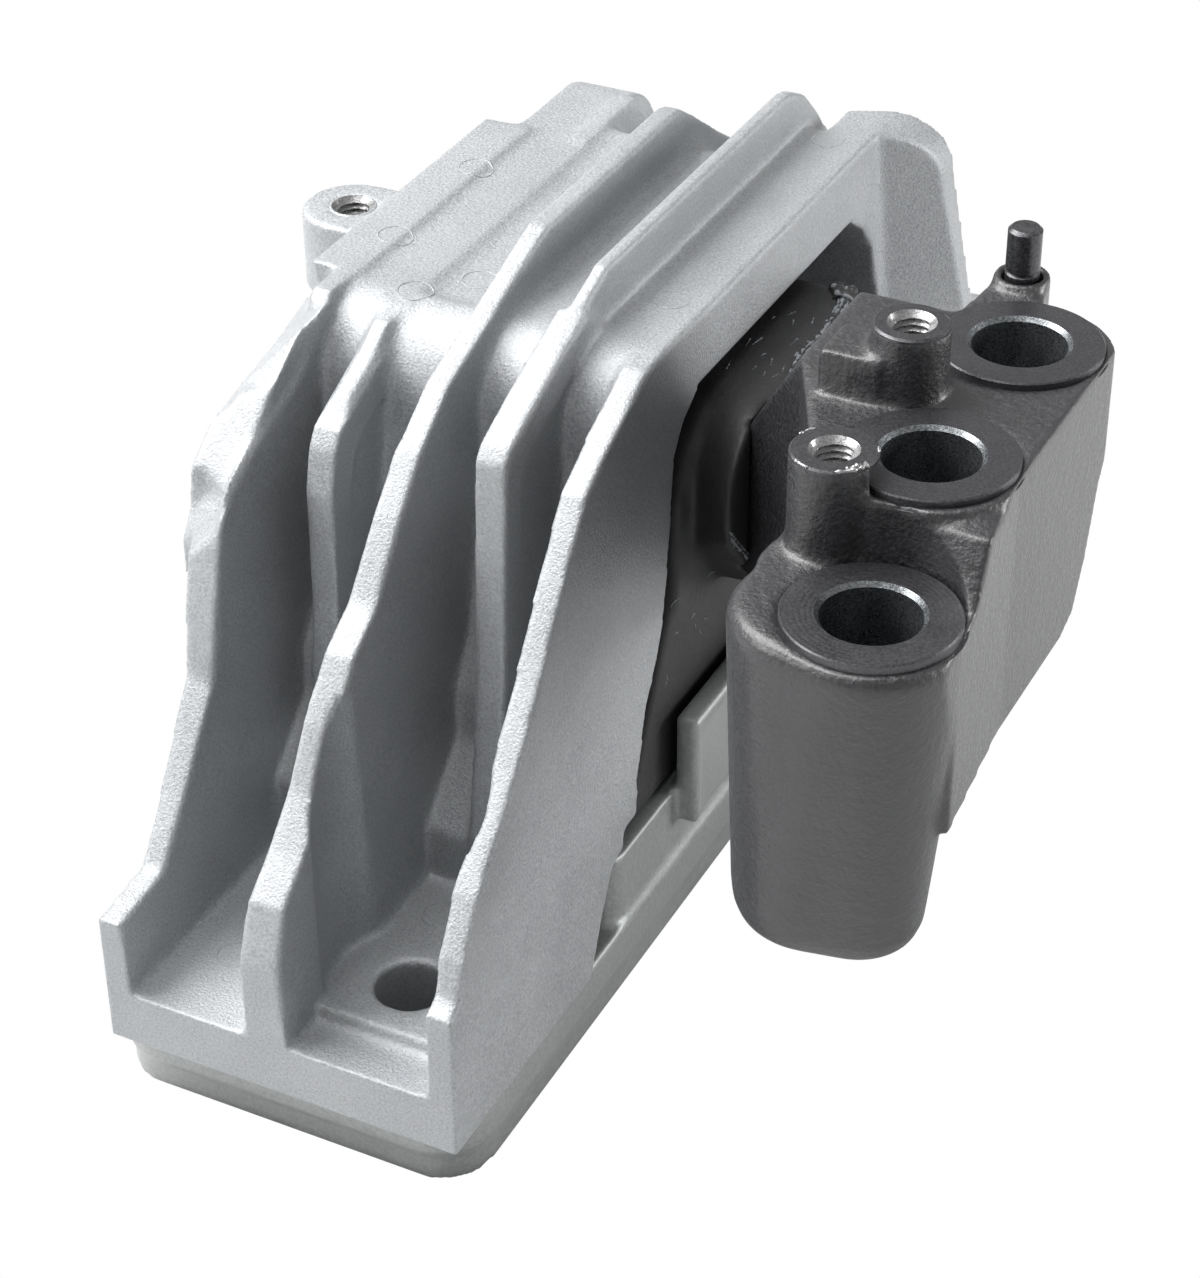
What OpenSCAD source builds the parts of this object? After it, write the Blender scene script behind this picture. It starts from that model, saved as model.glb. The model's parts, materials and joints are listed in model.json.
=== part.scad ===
// Hydraulic engine mount: a ribbed cast bridge on a fluid-filled base, and an iron arm held in rubber.
// X runs across the ribs towards the arm, Y along the bridge, Z up from the base's underside.

/* [Bridge] */
// Length of the bridge over both feet
bridge_l = 225; // [215:1:240]
// Width of the bridge over its outer ribs
bridge_w = 58; // [56:0.5:64]
// Height of the cast underside above the base's underside
seat_z = 13.2; // [12:0.2:15]
// Thickness of each foot
foot_t = 9.3; // [8:0.1:11]
// Height of the side walls above the foot at its open end
foot_wall_h = 14; // [10:0.5:18]
// Height of the roof's outer face
roof_z = 103.8; // [100:0.2:108]
// Thickness of the roof and of the beam over the window
roof_t = 11; // [9:0.2:13]
// Half the length of the roof's flat
roof_half = 36.5; // [34:0.5:40]
// Radius that rolls the roof down into each leg
shoulder_r = 12; // [9:0.5:14]
// Step of the roof between neighbouring bays
roof_step = 0.8; // [0.4:0.1:1.5]
// Fall of each rib's flanks from upright, in degrees
draft = 1.1; // [0.5:0.1:1.4]

/* [Ribs] */
// Thickness of the outer ribs at the foot
outer_rib_t = 4.2; // [3.6:0.1:5]
// Thickness of the second and fourth ribs at the foot
inner_rib_t = 5.8; // [5:0.1:6.4]
// Thickness of the middle rib at the foot
middle_rib_t = 7; // [6.4:0.1:7.6]
// Place of the second rib across the bridge
second_rib_x = -17.3; // [-18.5:0.1:-16]
// Place of the middle rib across the bridge
middle_rib_x = -1.9; // [-3:0.1:-1]
// Place of the fourth rib across the bridge
fourth_rib_x = 12.1; // [11:0.1:13]
// Height of the two tall ribs above the roof
tall_rib_h = 8.4; // [6:0.2:10]
// Lean of the window wall's outer face towards the roof
wall_lean = 4.2; // [3:0.1:5]
// Outward lean of the bridge's left face below the roof
left_lean = 3.2; // [2.5:0.1:4.5]
// Further outward lean of that face up to the roof's edge
brow_lean = 2; // [1:0.1:2.5]

/* [Window] */
// Half the length of the window's straight top
window_top_half = 26.2; // [24:0.2:28]
// Extra length of that top towards the rear
window_rear_more = 5; // [3:0.5:7]
// Half the length of the window's low tails beside the rim
window_foot_half = 72.7; // [71:0.1:74]

/* [Foot bolts] */
// Diameter of the four holes for the bolts to the body
foot_bore = 10.5; // [10.5:0.1:12]
// Distance of the right-hand hole from the foot's end
right_bolt_in = 18.3; // [16:0.1:20]
// Distance of the right-hand hole from the bridge's middle line
right_bolt_x = 11.8; // [11:0.1:12.4]
// Distance of the left-hand hole from the foot's end
left_bolt_in = 28.5; // [24:0.5:30]
// Distance of the left-hand hole from the bridge's middle line
left_bolt_x = 15.2; // [14.8:0.1:15.6]
// Diameter of the room for a socket round the right-hand hole
socket_d = 25.6; // [24:0.2:26.4]
// Height of the seat under the right-hand bolt's head above the foot
bolt_seat_h = 2; // [1:0.1:3]

/* [Side lug] */
// Diameter of the lug's rounded end
lug_d = 16; // [14:0.5:18]
// Height of the lug
lug_h = 13; // [10:0.5:16]
// Diameter of the lug's tapped hole
lug_tap = 5; // [4.2:0.1:6.8]
// Distance of the tapped hole from the bridge's left face
lug_out = 10.5; // [9:0.1:12]
// Place of the lug along the bridge
lug_y = -15; // [-20:0.5:-8]

/* [Base] */
// Distance of the base's right side inside the window wall's face
base_inset = 2; // [1.5:0.1:3]
// Distance of the base's left side outside the bridge
base_left_out = 5.6; // [3:0.2:8]
// Distance of the base's ends inside the bridge's ends
base_end_inset = 5; // [4:0.2:8]
// Radius of the base's corners
base_corner_r = 9; // [6:0.5:12]
// Height of the base's rim inside the bridge
rim_z = 26; // [25:0.2:29]
// Half the length of the rim
rim_half = 59; // [57:0.5:60]
// Height of the stop that stands in the window
stop_z = 40; // [36:0.5:44]
// Half the length of that stop
stop_half = 37; // [32:0.5:40]
// Thickness of the stop
stop_t = 3.8; // [3:0.1:4.4]
// Height of the stop's foot on the rim's outer side
stop_foot_z = 20; // [17:0.5:23]
// Depth of the panel sunk in the stop's outer face
stop_panel_d = 0.8; // [0.4:0.1:1.2]
// Height of the base's lower part, which stands back
base_low_h = 5.5; // [4:0.1:8]
// Distance that the lower part stands back
base_low_in = 0.9; // [0.4:0.1:1.2]
// Wall of the base round its fluid chamber
chamber_wall = 5; // [4.4:0.1:5.6]

/* [Arm] */
// Diameter of the three bolt holes
arm_bore = 13.5; // [13.2:0.1:14.5]
// Diameter of the machined ring round each hole
ring_d = 23.6; // [22:0.2:24.4]
// Height of each machined ring
ring_h = 0.7; // [0.4:0.1:1.2]
// Height of the arm's upper faces
arm_top_z = 111.3; // [109:0.1:114]
// Fall from there to the face round the front hole
arm_fall = 9.6; // [8:0.1:12]
// Height of the underside of the arm's block
arm_under_z = 71; // [66:0.5:72]
// Height of the front column's foot
column_z = 51.5; // [48:0.5:58]
// Distance of the front hole from the window wall's outer face
front_bore_out = 47; // [44:0.5:50]
// Place of the front hole along the bridge
front_bore_y = -83.6; // [-87:0.2:-81]
// Distance of the two upper holes from the window wall's outer face
upper_bore_out = 44.9; // [42:0.1:48]
// Place of the middle hole along the bridge
middle_bore_y = -59.2; // [-61:0.2:-57]
// Pitch of the two upper holes
upper_pitch = 33; // [30:0.5:35]
// Outer radius of the arm round its holes
arm_r = 13.2; // [12.6:0.1:14]
// Distance of the arm's outer face from its holes' middle lines
arm_side_out = 12.2; // [12.2:0.1:13]
// Narrowing of the front column's radius towards its foot
column_taper = 3.7; // [2:0.1:4]

/* [Bosses and pin] */
// Diameter of the front tapped boss
front_boss_d = 12; // [11:0.2:13]
// Diameter of the rear tapped boss
rear_boss_d = 10.8; // [10:0.2:12]
// Diameter of the tapped holes in the bosses
boss_tap = 5; // [4.2:0.1:6.8]
// Depth of the tapped holes
tap_depth = 14; // [10:0.5:16]
// Diameter of the locating pin
pin_d = 5; // [4:0.1:6]
// Diameter of the collar round the pin's foot
collar_d = 8.2; // [7.8:0.1:9.4]
// Length of the pin above its collar
pin_l = 7.4; // [5:0.1:10]
// Depth of the pin's shank in its hole
pin_sunk = 8; // [5:0.5:10]
// Extra diameter of the shank over the pin's free end
pin_shank_extra = 1; // [0.6:0.1:1.6]
// Height of the front boss above the face round the front hole
front_boss_h = 14; // [12:0.1:16]
// Height of the rear boss above the arm's upper faces
rear_boss_h = 10.4; // [8:0.1:12]

/* [Rubber] */
// Thickness of the rubber over the arm's tongue
sleeve_t = 7; // [5:0.5:8]
// Reach of the rubber along the arm's neck from the bridge's side
cover_reach = 6; // [4:0.5:10]
// Place of the rubber's rear side along the bridge
sleeve_rear_y = 18; // [14:0.5:24]
// Clearance between the rubber and the roof's beam
rubber_gap = 3; // [2:0.1:4]

/* [Fluid parts] */
// Thickness of the bottom cover
cover_t = 1.5; // [1:0.1:2]
// Thickness of the bellows
bellows_t = 1.8; // [1.2:0.1:2.4]
// Thickness of each orifice plate
plate_t = 3; // [2.4:0.1:3.4]
// Thickness of the decoupler membrane
membrane_t = 1.6; // [1:0.1:2]
// Clearance between parts that drop into the base
seat_gap = 0.3; // [0.2:0.05:0.5]

/* [Hidden] */
$fn = 96;
eps = 0.01;
far = 400;

end_y = bridge_l / 2;
side_x = bridge_w / 2;
floor_z = seat_z + foot_t;
seat_in = 8.2;
wall_foot_z = floor_z + foot_wall_h + 1.5;
window_top_z = roof_z - roof_t;
tall_top_z = roof_z + tall_rib_h;
cavity_left_x = -side_x + 5;
brow_y = -36.5;
strip_end_y = 18.5;
base_side_x = side_x - base_inset;
base_end_y = end_y - base_end_inset;
rim_left_x = cavity_left_x + 0.5;

// Each leg's outline, as the run from the foot's end and the rise above the foot.
outer_left_leg = [[0, 13], [11.6, 14.5], [18.3, 23.1], [29.1, 37.7], [31.2, 47], [34.9, 60.3], [38.2, 64.3],
    [46.9, 68.8], [56.7, 72], [62.5, 75.7], [65.9, 79.9], [69, 82.1]];
second_leg = [[44, 0], [45.4, 25.5], [47.5, 43.5], [47.6, 61.1], [50.8, 69.5], [55.5, 73.7], [62.9, 77],
    [67, 79.9], [75.5, 81.6]];
middle_leg = [[0, 14.3], [3, 23], [9, 28], [15, 34.5], [20, 43], [26, 51], [33, 55.5], [41, 65.5],
    [47.7, 72.7], [56.6, 79], [71.9, 84], [84.5, 88.4], [88, 89.5]];
second_rear_leg = [[44, 0], [45.4, 25.5], [47.5, 43.5], [47.6, 55], [55, 63], [70, 75.5], [75.5, 81.6]];
tall_rear_leg = [[0, 14.3], [15, 34.5], [26, 51], [41, 60], [60, 68.5], [77.1, 79.4], [85.8, 85.7],
    [91.3, 89.2], [94, 89.5]];
fourth_rear_leg = [[41, 13], [43, 25.5], [45, 40], [47, 58], [56, 68], [62, 75], [67.1, 81.3], [72.8, 86.7],
    [78, 89.2], [81, 89.5]];
fourth_leg = [[41, 13], [43, 25.5], [44.8, 40], [46.1, 64], [47.8, 74.7], [51.8, 78.2], [64.1, 83.4],
    [81, 89.5]];
wall_leg = [[0, 15.5], [3, 17], [5, 22], [10.5, 29.7], [24, 42], [31.3, 50], [40.6, 61.6], [49.4, 71.5],
    [56, 75], [69.8, 80.8], [76, 81.3]];
wall_rear_leg = [[0, 15.5], [12.5, 23.5], [22.5, 29.5], [32.5, 34.5], [40.5, 37], [43.5, 53.5], [46.5, 65.5],
    [52.5, 74.5], [62.5, 78.5], [69, 81.3]];
window_leg = [[0, -20], [3, -13.3], [6.8, -4], [10.3, 2.7], [13.7, 3.6], [14.3, 6.5], [18.3, 7], [19, 12.5],
    [23.7, 23.8], [27.8, 28.6], [31, 35], [33.2, 42.5], [35.5, 50.9], [37, 57.7], [40.8, 62.2], [46.5, 65.5]];

// The outer left rib's rear leg, which reaches further than its front one.
outer_rear_leg = [for (p = outer_left_leg) [p[0] * 1.36, p[1]]];

// The run at which a leg's outline ends.
function run_of(leg) = leg[len(leg) - 1][0];
// Moves a leg's outline so that it ends at the given run and rise.
function fitted(leg, run, rise) =
    let (last_rise = leg[len(leg) - 1][1])
    [for (p = leg) [p[0] * run / run_of(leg), p[1] * rise / last_rise]];
// A rib's side view: both legs, with the flat between them at the given height.
function rib_outline(front_leg, rear_leg, top_z, bottom) =
    let (rise = top_z - floor_z,
        front = fitted(front_leg, run_of(front_leg), rise),
        rear = fitted(rear_leg, run_of(rear_leg), rise))
    concat(
        [[-end_y + front[0][0], bottom]],
        [for (p = front) [-end_y + p[0], floor_z + p[1]]],
        [for (i = [len(rear) - 1:-1:0]) [end_y - rear[i][0], floor_z + rear[i][1]]],
        [[end_y - rear[0][0], bottom]]);
// The points of an arc about a centre, from one angle to another.
function arc(c, r, from, to, steps = 12) =
    [for (i = [0:steps]) let (a = from + (to - from) * i / steps) [c[0] + r * cos(a), c[1] + r * sin(a)]];
// One half of an outline with its other half mirrored onto it.
function both_ends(half) = concat(half, [for (i = [len(half) - 1:-1:0]) [-half[i][0], half[i][1]]]);

// Extrudes a side view, drawn in Y and Z, from one X to another.
module across(x0, x1) {
    translate([x0, 0, 0]) rotate([90, 0, 90]) linear_extrude(x1 - x0) children();
}

// Extrudes an end view, drawn in X and Z, over the whole length.
module along() {
    translate([0, end_y + eps, 0]) rotate([90, 0, 0]) linear_extrude(bridge_l + 2 * eps) children();
}

// Repeats its children at both feet.
module at_feet() {
    children();
    mirror([0, 1, 0]) children();
}

// A rib with its side view and with flanks that lean together by the draft.
module rib(x, t, points) {
    lean = tan(draft) * (tall_top_z - floor_z);
    intersection() {
        across(x - t, x + t) polygon(points);
        translate([x, 0, 0]) along()
            polygon([[-t / 2, 0], [t / 2, 0], [t / 2, floor_z], [t / 2 - lean, tall_top_z],
                [-t / 2 + lean, tall_top_z], [-t / 2, floor_z]]);
    }
}

// The arch's outer side view: a foot, two sloping ledges, the leg and the rounded shoulder.
module arch_outline() {
    ledge_y = -end_y + 41.6;
    half = concat(
        [[-end_y, seat_z], [-end_y, floor_z], [ledge_y, floor_z], [ledge_y, floor_z + 11],
            [ledge_y + 10.4, floor_z + 21.5], [ledge_y + 11, floor_z + 29.5], [ledge_y + 16.1, floor_z + 36.5],
            [-roof_half - shoulder_r, roof_z - 1.4 * shoulder_r]],
        arc([-roof_half, roof_z - shoulder_r], shoulder_r, 180, 90));
    polygon(both_ends(half));
}

// The room behind the roof between the second rib and the fourth, where it falls away early to the rear.
module rear_fall() {
    across(second_rib_x, fourth_rib_x)
        polygon([[24, far], [24, roof_z], [28, roof_z - 1.6], [44.5, roof_z - 18.5], [49.5, roof_z - 30],
            [60, roof_z - 30], [60, far]]);
}

// The tunnel under the arch, which opens at the window and reaches further to the rear.
module window_outline() {
    foot_z = rim_z + 1;
    front = fitted(window_leg, window_foot_half - window_top_half, window_top_z - foot_z);
    rear = fitted(window_leg, window_foot_half - window_top_half - window_rear_more, window_top_z - foot_z);
    polygon(concat([for (p = front) [-window_foot_half + p[0], foot_z + p[1]]],
        [for (i = [len(rear) - 1:-1:0]) [window_foot_half - rear[i][0], foot_z + rear[i][1]]]));
}

// The room inside everything that the window wall's leaning face bounds.
module wall_bound() {
    over_z = tall_top_z + 5;
    along() polygon([[-2 * side_x, 0], [side_x, 0], [side_x, wall_foot_z],
        [side_x - wall_lean, roof_z], [side_x - wall_lean - 1, over_z], [-2 * side_x, over_z]]);
}

// The window wall's leg: a thin plate behind the leaning face.
module wall_plate() {
    intersection() {
        across(0, side_x) polygon(rib_outline(wall_leg, wall_rear_leg, roof_z, seat_z));
        along() polygon([[side_x - outer_rib_t, 0], [side_x, 0], [side_x, wall_foot_z],
            [side_x - wall_lean, roof_z], [side_x - wall_lean - outer_rib_t, roof_z],
            [side_x - outer_rib_t, wall_foot_z]]);
    }
}

// A box from one corner to the opposite one.
module box(from, to) {
    translate(from) cube(to - from);
}

// The left face, which leans outwards from the middle of the leg to just below the roof, and the roof's brow,
// which leans out further.
module left_flank() {
    top_z = roof_z + roof_step;
    inner_x = -side_x + outer_rib_t / 2;
    lean_x = -side_x - left_lean;
    lean_z = floor_z + 15.5;
    brow_z = top_z - 10;
    intersection() {
        union() {
            across(lean_x, inner_x) polygon(rib_outline(outer_left_leg, outer_rear_leg, top_z, seat_z));
            left_haunch(top_z);
        }
        along() polygon([[inner_x, seat_z], [-side_x, seat_z], [-side_x, lean_z],
            [-side_x - 0.7 * left_lean, lean_z + 33], [lean_x, brow_z], [-side_x - 0.5, top_z],
            [inner_x, top_z]]);
    }
    intersection() {
        across(lean_x - brow_lean, inner_x)
            polygon([[brow_y, brow_z - 5], [brow_y, top_z], [strip_end_y, top_z], [strip_end_y + 8, top_z - 7],
                [45, 82], [0, 70]]);
        along() polygon([[inner_x, 70], [-side_x - 0.7 * left_lean, 70], [lean_x, brow_z],
            [lean_x - brow_lean, top_z], [inner_x, top_z]]);
    }
}

// The wedge between the left rib's slanted edge and the higher outer edge of the left face.
module left_haunch(top_z) {
    rib_x = -side_x + outer_rib_t - tan(draft) * (top_z - floor_z);
    out_x = -side_x - left_lean;
    ridge = [[-78.1, 81], [-74.3, 86.8], [-65.6, 91.3], [-55.8, 94.5], [-49.5, 98.2], [-43.5, top_z]];
    edge = [[-78.1, 81], [-75.6, 92], [-73.4, 94.5], [-60, 97.4], [-45.5, 99.2], [-40, top_z]];
    for (i = [0:len(ridge) - 2])
        hull() for (j = [i, i + 1], down = [0, 12]) {
            translate([rib_x, ridge[j][0], ridge[j][1] - down]) cube(eps);
            translate([out_x, edge[j][0], edge[j][1] - down]) cube(eps);
        }
}

// The tapped lug on the left side.
module lug() {
    top_z = roof_z - 1;
    translate([-side_x - lug_out, lug_y, top_z - lug_h]) cylinder(d = lug_d, h = lug_h);
    translate([-side_x - lug_out, lug_y - lug_d / 2, top_z - lug_h]) cube([lug_out + 2, lug_d, lug_h]);
}

// The rear leg's ear, which turns outwards behind the window.
module rear_ear() {
    bend_y = 42;
    out = 9.5;
    ear_r = 11;
    tip_y = bend_y + out + wall_lean;
    intersection() {
        translate([0, 0, seat_z]) linear_extrude(roof_z - seat_z)
            polygon([[side_x - 12, bend_y - 8], [side_x - wall_lean, bend_y], [side_x + out, tip_y],
                [side_x + out, tip_y + 3], [side_x - 12, bend_y + 7]]);
        along() polygon(concat([[0, seat_z], [0, roof_z]],
            arc([side_x + out - 5 - ear_r, roof_z - ear_r], ear_r, 90, 0),
            [[side_x + out - 1, 68], [side_x + out - 2, 60], [side_x, wall_foot_z], [side_x, seat_z]]));
    }
}

// The outer left rib and the three inner ones.
module ribs() {
    step_z = roof_z + roof_step;
    second_z = roof_z + 0.3;
    rib(-side_x + outer_rib_t / 2, outer_rib_t, rib_outline(outer_left_leg, outer_rear_leg, step_z, seat_z));
    rib(second_rib_x, inner_rib_t, rib_outline(second_leg, second_rear_leg, second_z, floor_z - 1));
    rib(middle_rib_x, middle_rib_t, rib_outline(middle_leg, tall_rear_leg, tall_top_z, seat_z));
    rib(fourth_rib_x, inner_rib_t, rib_outline(fourth_leg, fourth_rear_leg, tall_top_z, floor_z - 1));
}

// The raised seats under the right-hand bolts.
module bolt_seats() {
    at_feet() translate([middle_rib_x, -end_y + seat_in, floor_z - 1])
        cube([side_x - 1 - middle_rib_x, 34, 1 + bolt_seat_h]);
}

module bridge() {
    inside = 2.2;
    color("silver") difference() {
        union() {
            intersection() {
                union() {
                    difference() {
                        across(-side_x, side_x) arch_outline();
                        rear_fall();
                    }
                    ribs();
                    wall_plate();
                    box([-side_x, -roof_half, roof_z - 4],
                        [second_rib_x - inside, strip_end_y, roof_z + roof_step]);
                    bolt_seats();
                }
                wall_bound();
            }
            left_flank();
            lug();
            rear_ear();
        }
        across(cavity_left_x, side_x + far) window_outline();
        box([second_rib_x + inside, -roof_half, roof_z - roof_step], [middle_rib_x - inside, roof_half, far]);
        at_feet() {
            translate([right_bolt_x, -end_y + right_bolt_in, seat_z - eps]) {
                cylinder(d = foot_bore, h = far);
                translate([0, 0, foot_t + bolt_seat_h]) cylinder(d = socket_d, h = 45);
            }
            translate([-left_bolt_x, -end_y + left_bolt_in, seat_z - eps])
                cylinder(d = foot_bore, h = foot_t * 2);
        }
        translate([-side_x - lug_out, lug_y, roof_z - lug_h - 5]) cylinder(d = lug_tap, h = far);
    }
}

// A plate with round corners, given by its corners' places.
module rounded_plate(x0, x1, half_y, r, h) {
    linear_extrude(h) {
        translate([x0 + r, -half_y]) square([x1 - x0 - 2 * r, 2 * half_y]);
        translate([x0, -half_y + r]) square([x1 - x0, 2 * half_y - 2 * r]);
        for (x = [x0 + r, x1 - r], y = [-half_y + r, half_y - r]) translate([x, y]) circle(r);
    }
}

// A slice of the chamber's room, shrunk by a gap all round.
module chamber(gap, h) {
    rounded_plate(rim_left_x + chamber_wall + gap, base_side_x - chamber_wall - gap,
        rim_half - chamber_wall - gap, 14 - gap, h);
}

ledge_z = 5;
ledge_w = 3;
ring_w = 4;
bellows_ring_z = ledge_z + bellows_t;
lower_plate_z = bellows_ring_z + 4.5;
membrane_z = lower_plate_z + plate_t;
upper_plate_z = membrane_z + membrane_t;
spring_ring_z = upper_plate_z + plate_t;

// The stop: a plate that stands on the rim's outer side, with a panel sunk in its face.
module stop() {
    edge = 2;
    difference() {
        union() {
            box([base_side_x - 1, -stop_half, stop_foot_z], [base_side_x + stop_t, stop_half, rim_z]);
            box([base_side_x, -stop_half, rim_z - 1], [base_side_x + stop_t, stop_half, stop_z]);
        }
        box([base_side_x + stop_t - stop_panel_d, -stop_half + edge, stop_foot_z - eps],
            [far, stop_half - edge, stop_z - edge]);
    }
}

module base() {
    left_x = -side_x - base_left_out;
    rim_corner_r = 4;
    color("lightgray") difference() {
        union() {
            rounded_plate(left_x + base_low_in, base_side_x, base_end_y - base_low_in,
                base_corner_r - base_low_in, base_low_h);
            translate([0, 0, base_low_h]) rounded_plate(left_x, base_side_x + base_low_in, base_end_y,
                base_corner_r, seat_z - base_low_h);
            translate([0, 0, seat_z - 1])
                rounded_plate(rim_left_x, base_side_x, rim_half, rim_corner_r, rim_z - seat_z + 1);
            stop();
        }
        translate([0, 0, ledge_z]) chamber(0, far);
        translate([0, 0, -eps]) chamber(ledge_w, far);
        translate([0, 0, -eps]) chamber(0, cover_t + eps);
        at_feet() {
            translate([right_bolt_x, -end_y + right_bolt_in, -eps]) cylinder(d = foot_bore, h = far);
            translate([-left_bolt_x, -end_y + left_bolt_in, -eps]) cylinder(d = foot_bore, h = far);
        }
    }
}

// A flat plate that fills the chamber.
module chamber_plate(z, t) {
    translate([0, 0, z]) chamber(seat_gap, t);
}

// A frame that lies along the chamber's wall.
module chamber_frame(z, t, w) {
    translate([0, 0, z]) difference() {
        chamber(seat_gap, t);
        translate([0, 0, -eps]) chamber(seat_gap + w, t + 2 * eps);
    }
}

module bottom_cover() {
    color("gray") chamber_plate(0, cover_t);
}

module bellows() {
    color("dimgray") {
        chamber_plate(ledge_z, bellows_t);
        translate([0, 0, ledge_z - 2]) chamber(ledge_w + 1, 2 + eps);
    }
}

module bellows_ring() {
    color("gray") chamber_frame(bellows_ring_z, lower_plate_z - bellows_ring_z, ring_w);
}

module lower_orifice_plate() {
    color("silver") difference() {
        chamber_plate(lower_plate_z, plate_t);
        orifices(lower_plate_z);
    }
}

module decoupler_membrane() {
    color("dimgray") chamber_plate(membrane_z, membrane_t);
}

module upper_orifice_plate() {
    color("silver") difference() {
        chamber_plate(upper_plate_z, plate_t);
        orifices(upper_plate_z);
    }
}

// The slots that let the fluid press on the membrane.
module orifices(z) {
    mid_x = (rim_left_x + base_side_x) / 2;
    slot_w = 4;
    slot_l = 20;
    pitch_y = slot_l + 8;
    for (i = [-1:1], j = [-1:1])
        translate([mid_x + 2 * slot_w * i - slot_w / 2, pitch_y * j - slot_l / 2, z - eps])
            cube([slot_w, slot_l, plate_t + 2 * eps]);
}

module spring_ring() {
    color("gray") chamber_frame(spring_ring_z, rim_z - spring_ring_z, ring_w);
}

tongue_half = 24;
tongue_z0 = 62;
tongue_z1 = 84;
tongue_left_x = cavity_left_x + 12;
sleeve_top_z = window_top_z - rubber_gap;
sleeve_half = 34;
tongue_rear_y = sleeve_rear_y - sleeve_t;
bore_front = [side_x + front_bore_out, front_bore_y];
bore_middle = [side_x + upper_bore_out, middle_bore_y];
bore_rear = [side_x + upper_bore_out, middle_bore_y + upper_pitch];
arm_left_x = side_x + 19;
neck_front_y = middle_bore_y + 17;
neck_rear_y = bore_rear[1] + 5.7;
low_top_z = arm_top_z - arm_fall;
boss_front = [bore_front[0] - 11.6, bore_front[1] + 14.2];
boss_rear = [bore_middle[0] - 9.3, bore_middle[1] + 15.1];
pin_at = [bore_rear[0] - 6.2, bore_rear[1] + 17.6];
front_boss_z = low_top_z + front_boss_h;
rear_boss_z = arm_top_z + rear_boss_h;
pin_collar_z = arm_top_z + 1.5;
pin_shank_d = pin_d + pin_shank_extra;

// The rubber: a block round the arm's tongue and two thick legs down to its ring.
module main_spring() {
    block_left_x = tongue_left_x - sleeve_t;
    foot_out = rim_half - chamber_wall - seat_gap;
    color("dimgray") difference() {
        union() {
            across(block_left_x, side_x - 3)
                polygon([[-sleeve_half + 4, tongue_z0 - 9], [-sleeve_half, tongue_z0 - 4],
                    [-sleeve_half, sleeve_top_z - 14], [-sleeve_half + 3, sleeve_top_z - 6],
                    [-sleeve_half + 9, sleeve_top_z - 1.5], [-sleeve_half + 16, sleeve_top_z],
                    [sleeve_rear_y - 2, sleeve_top_z], [sleeve_rear_y, sleeve_top_z - 2],
                    [sleeve_rear_y, tongue_z0 - 2], [sleeve_half - 4, tongue_z0 - 9]]);
            neck_cover();
            intersection() {
                across(block_left_x, side_x) difference() {
                    polygon(both_ends([[-foot_out, spring_ring_z], [-foot_out, rim_z],
                        [-foot_out + 7, rim_z + 8], [-sleeve_half, tongue_z0 - 2]]));
                    polygon(both_ends([[-sleeve_half, spring_ring_z - 1], [-0.6 * sleeve_half, tongue_z0 - 16],
                        [-0.25 * sleeve_half, tongue_z0 - 11]]));
                }
                chamber(seat_gap + ring_w, far);
            }
        }
        tongue();
        neck();
    }
}

// The rubber over the neck's root, which widens towards the front as it comes out of the window.
module neck_cover() {
    root_x = side_x - 6;
    end_x = side_x + cover_reach;
    hull() {
        translate([root_x, 0, 0]) cover_slice(-28, sleeve_rear_y, tongue_z0 - 6, sleeve_top_z);
        translate([end_x, 0, 0]) cover_slice(-36, sleeve_rear_y, tongue_z0 - 5, sleeve_top_z + 0.5);
    }
}

// One slice across that cover, round at its corners and most of all at its front upper one.
module cover_slice(y0, y1, z0, z1) {
    front_r = 12;
    rear_r = 4;
    for (c = [[y0 + rear_r, z0 + rear_r, rear_r], [y0 + front_r, z1 - front_r, front_r],
        [y1 - rear_r, z0 + rear_r, rear_r], [y1 - rear_r, z1 - rear_r, rear_r]])
        translate([0, c[0], c[1]]) rotate([0, 90, 0]) cylinder(r = c[2], h = eps, $fn = 32);
}

// The arm's tongue, held in the rubber.
module tongue() {
    box([tongue_left_x, -tongue_half, tongue_z0], [side_x, tongue_rear_y, tongue_z1]);
}

// The neck that rises from the tongue to the block.
module neck() {
    root_x = arm_left_x + 14;
    intersection() {
        translate([0, neck_rear_y, 0]) rotate([90, 0, 0]) linear_extrude(neck_rear_y - neck_front_y)
            polygon([[0, tongue_z0], [side_x + 4, tongue_z0], [root_x, arm_under_z], [root_x, arm_top_z],
                [arm_left_x, arm_top_z], [side_x + 2, tongue_z1], [0, tongue_z1]]);
        linear_extrude(far) polygon([[0, -tongue_half], [side_x + 2, -tongue_half], [arm_left_x, neck_front_y],
            [root_x, neck_front_y], [root_x, neck_rear_y], [arm_left_x, neck_rear_y],
            [side_x + 2, tongue_rear_y], [0, tongue_rear_y]]);
    }
}

// The front column, which narrows downwards and has round edges at its top and foot.
module column() {
    foot_in = 2.2;
    foot_h = 6;
    top_in = 2.4;
    hull() for (off = [[0, 0, column_taper], [-6.2, 1.2, 1.4]], a = [0, 30, 60, 90])
        translate([bore_front[0] + off[0], bore_front[1] + off[1], 0]) {
            translate([0, 0, column_z + foot_h * (1 - cos(a))])
                cylinder(r = arm_r - off[2] - foot_in * (1 - sin(a)), h = eps, $fn = 40);
            translate([0, 0, low_top_z - top_in * (1 - cos(a)) - eps])
                cylinder(r = arm_r - top_in * (1 - sin(a)), h = eps, $fn = 40);
        }
}

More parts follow.
